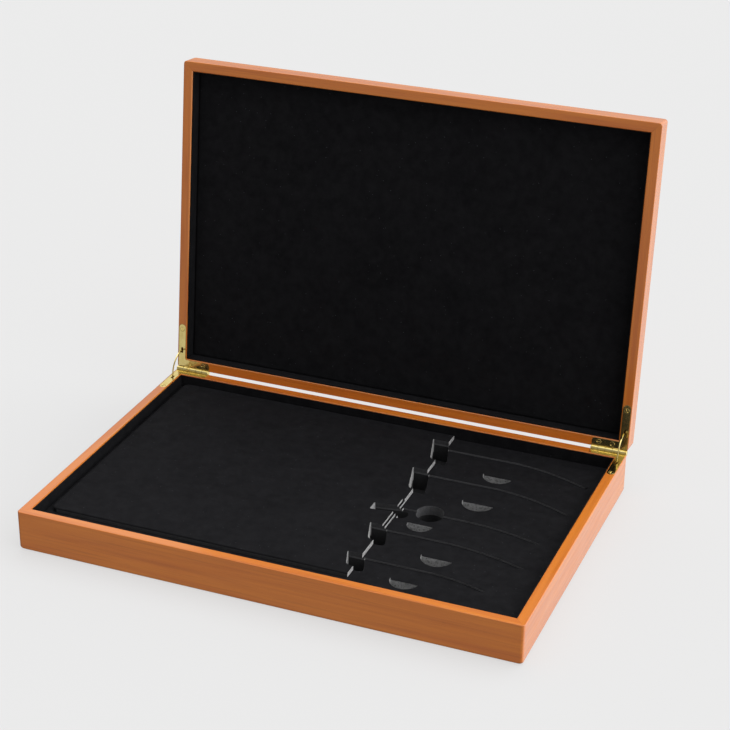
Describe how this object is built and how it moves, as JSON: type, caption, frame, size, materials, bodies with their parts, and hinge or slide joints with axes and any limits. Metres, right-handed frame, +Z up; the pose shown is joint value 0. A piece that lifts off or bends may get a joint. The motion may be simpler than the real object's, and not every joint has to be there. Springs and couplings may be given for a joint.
{
  "type": "knife display case",
  "caption": "Shallow hinged wooden display case standing open, lined in black flock, with a raised pad beside a foam bed of blade recesses, deep slots and fingertip scoops.",
  "frame": {"origin": "centre of the case's underside, which rests on the table", "axes": "+X to the right along the long side, +Y to the hinge side, +Z up; the lid stands open in the rest pose"},
  "size_m": [0.4, 0.3179, 0.2983],
  "materials": {
    "lacquered_wood": "satin gloss lacquer",
    "black_flock": "matte flock",
    "raw_foam": "open cut foam",
    "polished_brass": "polished"
  },
  "bodies": {
    "base": {"base_front_rail": "lacquered_wood", "base_back_rail": "lacquered_wood", "base_left_rail": "lacquered_wood", "base_right_rail": "lacquered_wood", "base_bottom_panel": "lacquered_wood", "base_front_liner": "black_flock", "base_back_liner": "black_flock", "base_left_liner": "black_flock", "base_right_liner": "black_flock", "foam_core": "raw_foam", "foam_bed": "black_flock", "blade_sheet": "black_flock", "handle_pad": "black_flock", "left_hinge_base_leaf": "polished_brass", "left_hinge_pin": "polished_brass", "left_hinge_base_screw_1": "polished_brass", "left_hinge_base_screw_2": "polished_brass", "left_hinge_base_screw_3": "polished_brass", "right_hinge_base_leaf": "polished_brass", "right_hinge_pin": "polished_brass", "right_hinge_base_screw_1": "polished_brass", "right_hinge_base_screw_2": "polished_brass", "right_hinge_base_screw_3": "polished_brass"},
    "lid": {"lid_front_rail": "lacquered_wood", "lid_back_rail": "lacquered_wood", "lid_left_rail": "lacquered_wood", "lid_right_rail": "lacquered_wood", "lid_top_panel": "lacquered_wood", "lid_front_liner": "black_flock", "lid_back_liner": "black_flock", "lid_left_liner": "black_flock", "lid_right_liner": "black_flock", "lid_lining_pad": "black_flock", "left_hinge_lid_leaf": "polished_brass", "left_hinge_lid_screw_1": "polished_brass", "left_hinge_lid_screw_2": "polished_brass", "left_hinge_lid_screw_3": "polished_brass", "right_hinge_lid_leaf": "polished_brass", "right_hinge_lid_screw_1": "polished_brass", "right_hinge_lid_screw_2": "polished_brass", "right_hinge_lid_screw_3": "polished_brass"},
    "left_stay": {"left_hinge_stay": "polished_brass"},
    "right_stay": {"right_hinge_stay": "polished_brass"}
  },
  "joints": [
    {"name": "lid_hinge", "type": "hinge", "parent": "base", "child": "lid", "pos_m": [0, 0.1344, 0.03285], "axis": [1, 0, 0], "range_deg": [0, 96.7]},
    {"name": "left_stay_swing", "type": "hinge", "parent": "base", "child": "left_stay", "pos_m": [-0.19595, 0.1344, 0.03285], "axis": [1, 0, 0], "range_deg": [0, 58.1]},
    {"name": "right_stay_swing", "type": "hinge", "parent": "base", "child": "right_stay", "pos_m": [0.19595, 0.1344, 0.03285], "axis": [1, 0, 0], "range_deg": [0, 58.1]}
  ],
  "couplings": [
    {"joint": "left_stay_swing", "follows": "lid_hinge", "ratio": 0.6},
    {"joint": "right_stay_swing", "follows": "lid_hinge", "ratio": 0.6}
  ]
}
